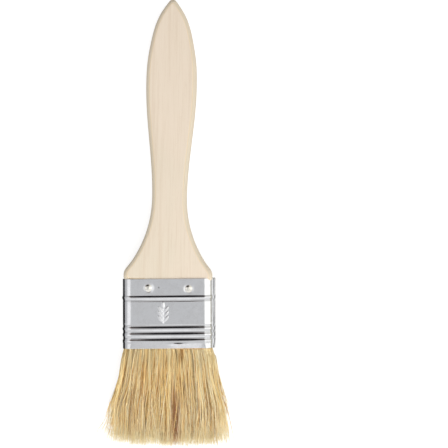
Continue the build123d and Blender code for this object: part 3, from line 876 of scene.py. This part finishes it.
def make_lock(name, node, index, depth_sign, material):
    """One lock of bristles: wisps of tapered hairs that draw together towards their split ends."""
    rng = np.random.default_rng(100 + index * 2 + (depth_sign > 0))
    x, z, s, t, wisp = hair_paths(index, depth_sign, rng)
    count = len(x)
    y = MOUTH - s
    thick = rng.uniform(THINNEST_HAIR, THICKEST_HAIR, count)[:, None]
    radius = thick * (1 - TIP_THINNING * t**2)
    spin = rng.uniform(0, 2 * math.pi, count)[:, None]
    corners = []
    for corner in range(3):
        angle = spin + corner * 2 * math.pi / 3
        corner_x, corner_z = x + radius * np.cos(angle), MID_Z + z + radius * np.sin(angle)
        corners.append(np.stack([corner_x, y, corner_z], axis=-1))
    rings = np.stack(corners, axis=2).reshape(count, RINGS * 3, 3)
    tips = np.stack([x[:, -1], y[:, -1] - 0.3, MID_Z + z[:, -1]], axis=-1)[:, None, :]
    points = np.concatenate([rings, tips], axis=1).reshape(-1, 3)
    tip = RINGS * 3
    last = tip - 3
    pattern = ring_faces(RINGS, 3)
    pattern += [(last, last + 1, tip), (last + 1, last + 2, tip), (last + 2, last, tip), (2, 1, 0)]
    per_hair = tip + 1
    faces = []
    for hair in range(count):
        faces += [tuple(hair * per_hair + corner for corner in face) for face in pattern]
    piece = make_piece(name, points, faces, material)

    def keep(attribute, values):
        """Stores one number per ring of each hair."""
        values = np.broadcast_to(values, (count, RINGS))
        on_corners = np.repeat(values, 3, axis=1)
        store(piece, attribute, np.append(on_corners, values[:, -1:], axis=1).ravel())

    shade = 0.66 + rng.normal(0, 0.10, WISPS)[wisp] + rng.normal(0, 0.27, count)
    shade = np.where(rng.random(count) < 0.07, 0.08, np.clip(shade, 0, 1))[:, None]
    shade = 0.62 + (shade - 0.62) * (0.55 + 0.45 * smooth_step(s, 3.0, 18.0))
    # A dark streak under the ferrule and a rust-brown patch lower down
    streak = np.exp(-(((x - STREAK_X) / 0.75) ** 2)) * (1 - smooth_step(s, 2.0, 9.0))
    patch = np.exp(-(((x - PATCH_X) / 1.7) ** 2)) * smooth_step(s, 13.0, 26.0)
    patch = patch * (1 - 0.6 * smooth_step(s, 34.0, 42.0))
    keep("hair_shade", shade * (1 - 0.9 * streak))
    keep("hair_rust", patch * (0.85 * (rng.random(count) < 0.75))[:, None])
    keep("hair_along", t * np.clip(s[:, -1:] / BRISTLE_LENGTH, 0, 1))
    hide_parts(node)
    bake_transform(piece)


# Studio ---------------------------------------------------------------------------------
def make_world():
    """Plain soft studio surroundings.

    Grey to pale from left to right and palest towards the bristles, with a grey patch overhead, a
    bright card to each side, a dark patch above the handle's end and a dim half below the horizon.
    """
    world = bpy.data.worlds.new("studio")
    bpy.context.scene.world = world
    tree = Tree(world)
    direction = tree.add("TexCoord").outputs["Generated"]
    parts = tree.add("SeparateXYZ", Vector=direction).outputs

    def towards(aim, outer, inner):
        """1 within the inner angle of a direction, 0 past the outer one."""
        aim = np.array(aim) / np.linalg.norm(aim)
        dot = tree.add("VectorMath", {"operation": "DOT_PRODUCT"}, i0=direction, i1=tuple(aim))
        near, far = math.cos(math.radians(inner)), math.cos(math.radians(outer))
        return tree.ramp(dot.outputs["Value"], far, near)

    side = tree.ramp(parts[0], -0.6, 0.6)
    colour = tree.mix(side, (0.42, 0.42, 0.43, 1), (0.84, 0.83, 0.81, 1))
    near = tree.ramp(tree.math("MULTIPLY", parts[1], -1.0), 0.05, 0.75)
    colour = tree.mix(near, colour, (0.97, 0.97, 0.98, 1))
    colour = tree.mix(towards((0, 0.03, 1), 34, 3), colour, (0.62, 0.625, 0.635, 1))
    strip = tree.ramp(tree.math("ABSOLUTE", parts[1]), 0.40, 0.16)
    left = tree.math("MULTIPLY", parts[0], -1.0)
    rise, fall = tree.ramp(left, 0.12, 0.36), tree.ramp(left, 0.97, 0.72, 0.2, 1.0)
    left_edges = tree.math("MULTIPLY", rise, fall)
    left_card = tree.math("MULTIPLY", strip, left_edges)
    colour = tree.mix(left_card, colour, (1.08, 1.08, 1.09, 1))
    right_card = tree.math("MULTIPLY", strip, tree.ramp(parts[0], 0.08, 0.26))
    colour = tree.mix(right_card, colour, (1.36, 1.36, 1.33, 1))
    colour = tree.mix(towards((-0.16, 0.60, 0.79), 29, 19), colour, (0.26, 0.20, 0.17, 1))
    colour = tree.mix(towards((-0.12, 0.60, 0.79), 22, 15), colour, (0.015, 0.015, 0.018, 1))
    below = tree.ramp(parts[2], -0.02, -0.16)
    low_side = tree.ramp(parts[0], -0.1, 0.1)
    low_colour = tree.mix(low_side, (0.07, 0.07, 0.075, 1), (0.50, 0.47, 0.38, 1))
    colour = tree.mix(below, colour, low_colour)
    background = tree.add("Background", Color=colour, Strength=1.0)
    output = tree.add("OutputWorld")
    tree.links.new(background.outputs[0], output.inputs[0])


def make_light(name, place, size, power):
    """A square soft light that faces the brush."""
    data = bpy.data.lights.new(name, "AREA")
    data.shape = "SQUARE"
    data.size = size
    data.energy = power
    lamp = bpy.data.objects.new(name, data)
    bpy.context.scene.collection.objects.link(lamp)
    lamp.location = place
    aim = -lamp.location.normalized()
    lamp.rotation_mode = "QUATERNION"
    lamp.rotation_quaternion = aim.to_track_quat("-Z", "Y")
    return lamp


def make_table(name, material, height):
    """One broad flat sheet under the brush."""
    reach = 30.0
    mesh = bpy.data.meshes.new(name)
    corners = [(-reach, -reach, 0), (reach, -reach, 0), (reach, reach, 0), (-reach, reach, 0)]
    mesh.from_pydata(corners, [], [(0, 1, 2, 3)])
    mesh.materials.append(material)
    table = bpy.data.objects.new(name, mesh)
    bpy.context.scene.collection.objects.link(table)
    table.location.z = height
    return table


def make_studio():
    """Camera straight above the brush, a pale table, and soft light from the bristles' end.

    The camera sees one table sheet and another one lights the brush, so that the background stays
    plain.
    """
    scene = bpy.context.scene
    make_world()
    key = make_light("soft_key", place=(0.22, -0.36, 0.58), size=0.6, power=1.45)
    fill = make_light("soft_fill", place=(0.02, -0.30, 0.20), size=0.25, power=0.36)
    key.visible_glossy = fill.visible_glossy = False
    seen = make_table("table_seen", floor_material("table_top", shade=0.36, glow=0.79), height=-0.0002)
    seen.visible_glossy = seen.visible_diffuse = seen.visible_shadow = False
    under_look = floor_material("table_underlay", shade=0.8, glow=0.0)
    under = make_table("table_under", under_look, height=-0.0004)
    under.visible_glossy = under.visible_camera = False

    data = bpy.data.cameras.new("camera")
    camera = bpy.data.objects.new("camera", data)
    scene.collection.objects.link(camera)
    scene.camera = camera
    frame_width, distance = 0.1871, 0.52
    centre_x, centre_y, roll = 0.0229, -0.0004, math.radians(1.04)
    data.sensor_width = 36.0
    data.lens = data.sensor_width * distance / frame_width
    data.clip_start = 0.01
    camera.location = (centre_x, centre_y, MID_Z * MM + distance)
    camera.rotation_euler = (0, 0, roll)
    scene.view_settings.view_transform = "Standard"


# The whole brush ------------------------------------------------------------------------
make_studio()

handle_look = wood_material("pale_wood", srgb(223, 211, 191), srgb(228, 213, 194), srgb(198, 174, 145))
tin_look = tin_material("tin_plate", (0.80, 0.805, 0.82, 1), (0.70, 0.70, 0.71, 1), 0.10, 0.22)
steel_look = tin_material("tack_steel", (0.88, 0.86, 0.80, 1), (0.74, 0.71, 0.64, 1), 0.14, 0.26)
spacer_look = wood_material("spacer_wood", srgb(214, 190, 150), srgb(222, 198, 160), srgb(176, 140, 98))
bristle_look = bristle_material("bristle")
packed_look = packed_material("packed_bristle")
resin_look = resin_material()

make_handle(handle_look)
make_ferrule(tin_look)
make_tacks(steel_look)
for depth_name, depth_sign in (("front", 1), ("back", -1)):
    for index in range(5):
        name, node = f"bristles_{depth_name}_{index + 1}", f"bristle_lock_{depth_name}_{index + 1}"
        make_lock(name, node, index, depth_sign, bristle_look)

for node, look in (
    ("resin_set", resin_look),
    ("spacer_plug", spacer_look),
    ("bristle_roots_front", packed_look),
    ("bristle_roots_back", packed_look),
):
    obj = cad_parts[node]
    obj.data.materials.clear()
    obj.data.materials.append(look)
